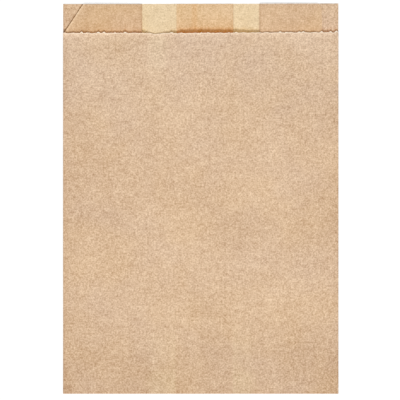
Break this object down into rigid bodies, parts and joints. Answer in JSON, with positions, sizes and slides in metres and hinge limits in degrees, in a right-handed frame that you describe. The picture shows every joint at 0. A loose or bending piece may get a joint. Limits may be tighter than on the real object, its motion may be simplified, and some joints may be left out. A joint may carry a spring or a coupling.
{
  "type": "paper croissant bag",
  "caption": "Flat-packed side-gusseted kraft paper bag with a lapped back seam, a pasted bottom fold and a back lip standing above the front panel's torn edge.",
  "frame": {"origin": "centre of the bag's outline, on the surface it lies on", "axes": "+Z out of the front panel, +Y from the bottom fold to the mouth, +X to the right seen from the front"},
  "size_m": [0.14, 0.1986, 0.002],
  "materials": {
    "kraft_paper": "matte"
  },
  "bodies": {
    "root": {"paper_bag": "kraft_paper"}
  },
  "joints": []
}
